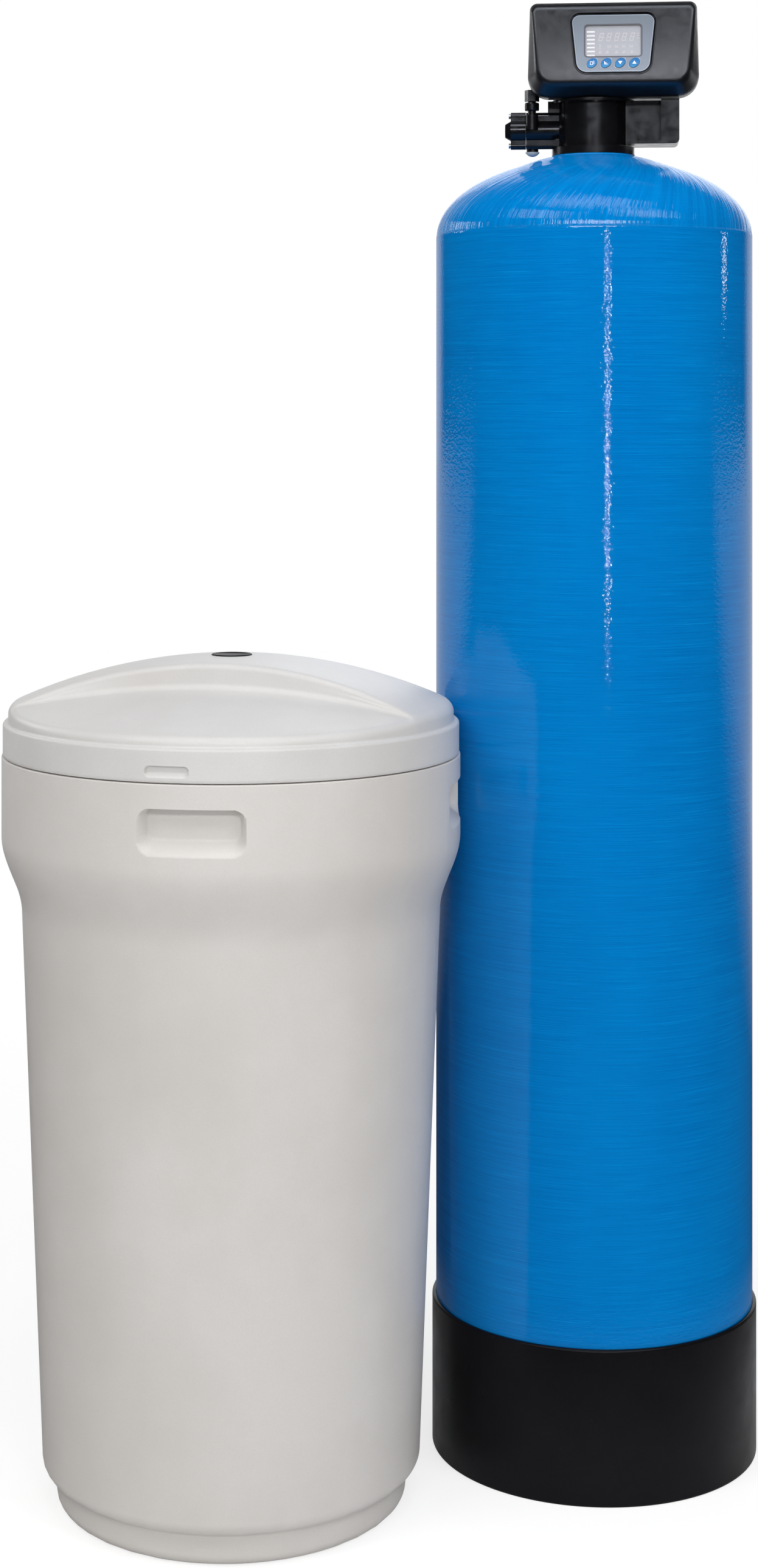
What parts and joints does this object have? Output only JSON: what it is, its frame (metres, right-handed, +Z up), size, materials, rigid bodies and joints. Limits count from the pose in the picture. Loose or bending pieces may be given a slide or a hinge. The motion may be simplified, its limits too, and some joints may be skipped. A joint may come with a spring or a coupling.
{
  "type": "water softener",
  "caption": "Water softener: blue wound pressure vessel in a black boot, automatic disc valve with display head on its neck, and a round white brine tank with a domed lid beside it.",
  "frame": {"origin": "on the floor, on the pressure vessel's axis", "axes": "+Z up, -Y the way the display faces, +X to the right of someone looking at the display"},
  "size_m": [0.766, 0.5674, 1.5203],
  "materials": {
    "boot": "satin black moulded plastic",
    "wound": "glossy blue wound glass fibre",
    "liner": "natural",
    "resin": "packed beads",
    "white_plastic": "moulded",
    "valve_plastic": "moulded glass-filled plastic",
    "head_plastic": "fine grain",
    "seal": "moulded",
    "ceramic": "lapped",
    "stem_plastic": "moulded",
    "brass": "machined",
    "steel": "plated",
    "nozzle": "moulded",
    "fascia": "satin film",
    "window": "clear",
    "display": "liquid crystal",
    "board": "solder mask",
    "button": "blue film",
    "tank_plastic": "fine grain polyethylene",
    "plug": "moulded",
    "ball": "moulded"
  },
  "bodies": {
    "root": {"vessel_boot": "boot", "vessel_shell": "wound", "vessel_liner": "liner", "resin_bed": "resin", "riser_tube": "white_plastic", "bottom_strainer": "white_plastic", "top_strainer": "white_plastic", "meter_cage": "white_plastic", "injector_throat": "white_plastic", "brine_port_plug": "white_plastic", "salt_grid": "white_plastic", "brine_well": "white_plastic", "float_valve": "white_plastic", "air_check": "white_plastic", "overflow_elbow": "white_plastic", "overflow_nut": "white_plastic", "thrust_washer": "white_plastic", "valve_body": "valve_plastic", "body_cap": "valve_plastic", "gear_bracket": "valve_plastic", "drain_fitting": "valve_plastic", "injector_cover": "valve_plastic", "brine_connector": "valve_plastic", "brine_nut": "valve_plastic", "connector_ring": "valve_plastic", "power_socket": "valve_plastic", "head_front": "head_plastic", "head_plate": "head_plastic", "head_rear": "head_plastic", "neck_seal": "seal", "riser_seal": "seal", "disc_gasket": "seal", "fixed_disc": "ceramic", "drive_screws": "steel", "gear_motor": "steel", "injector_screws": "steel", "head_screws": "steel", "well_bolts": "steel", "injector_nozzle": "nozzle", "fascia": "fascia", "display_window": "window", "display_module": "display", "control_board": "board", "brine_tank": "tank_plastic"},
    "lid": {"brine_lid": "tank_plastic", "lid_plug": "plug"},
    "cap": {"well_cap": "white_plastic"},
    "float_unit": {"float_rod": "steel", "float": "white_plastic"},
    "ball": {"check_ball": "ball"},
    "menu_key": {"button_menu": "button"},
    "back_key": {"button_back": "button"},
    "down_key": {"button_down": "button"},
    "up_key": {"button_up": "button"},
    "disc_drive": {"moving_disc": "ceramic", "drive_stem": "stem_plastic", "drive_gear": "white_plastic"},
    "pinion_unit": {"pinion": "brass"},
    "impeller": {"meter_impeller": "white_plastic"}
  },
  "joints": [
    {"name": "lid_lift", "type": "slide", "parent": "root", "child": "lid", "axis": [0, 0, 1], "range_m": [0, 0.25]},
    {"name": "well_cap_lift", "type": "slide", "parent": "root", "child": "cap", "axis": [0, 0, 1], "range_m": [0, 0.06]},
    {"name": "float_rise", "type": "slide", "parent": "root", "child": "float_unit", "axis": [0, 0, 1], "range_m": [0, 0.012]},
    {"name": "check_ball_rise", "type": "slide", "parent": "root", "child": "ball", "axis": [0, 0, 1], "range_m": [0, 0.01]},
    {"name": "menu_press", "type": "slide", "parent": "root", "child": "menu_key", "axis": [0, 0.9848, -0.1736], "range_m": [0, 0.0012], "stiffness_N_per_m": 600},
    {"name": "back_press", "type": "slide", "parent": "root", "child": "back_key", "axis": [0, 0.9848, -0.1736], "range_m": [0, 0.0012], "stiffness_N_per_m": 600},
    {"name": "down_press", "type": "slide", "parent": "root", "child": "down_key", "axis": [0, 0.9848, -0.1736], "range_m": [0, 0.0012], "stiffness_N_per_m": 600},
    {"name": "up_press", "type": "slide", "parent": "root", "child": "up_key", "axis": [0, 0.9848, -0.1736], "range_m": [0, 0.0012], "stiffness_N_per_m": 600},
    {"name": "disc_turn", "type": "hinge", "parent": "root", "child": "disc_drive", "pos_m": [0, 0, 1.4324], "axis": [0, 0, 1], "continuous": true},
    {"name": "pinion_turn", "type": "hinge", "parent": "root", "child": "pinion_unit", "pos_m": [0.03, 0, 1.4324], "axis": [0, 0, 1], "continuous": true},
    {"name": "impeller_turn", "type": "hinge", "parent": "root", "child": "impeller", "pos_m": [0.027, 0.0645, 1.381], "axis": [0, 1, 0], "continuous": true}
  ],
  "couplings": [
    {"joint": "pinion_turn", "follows": "disc_turn", "ratio": -4}
  ]
}
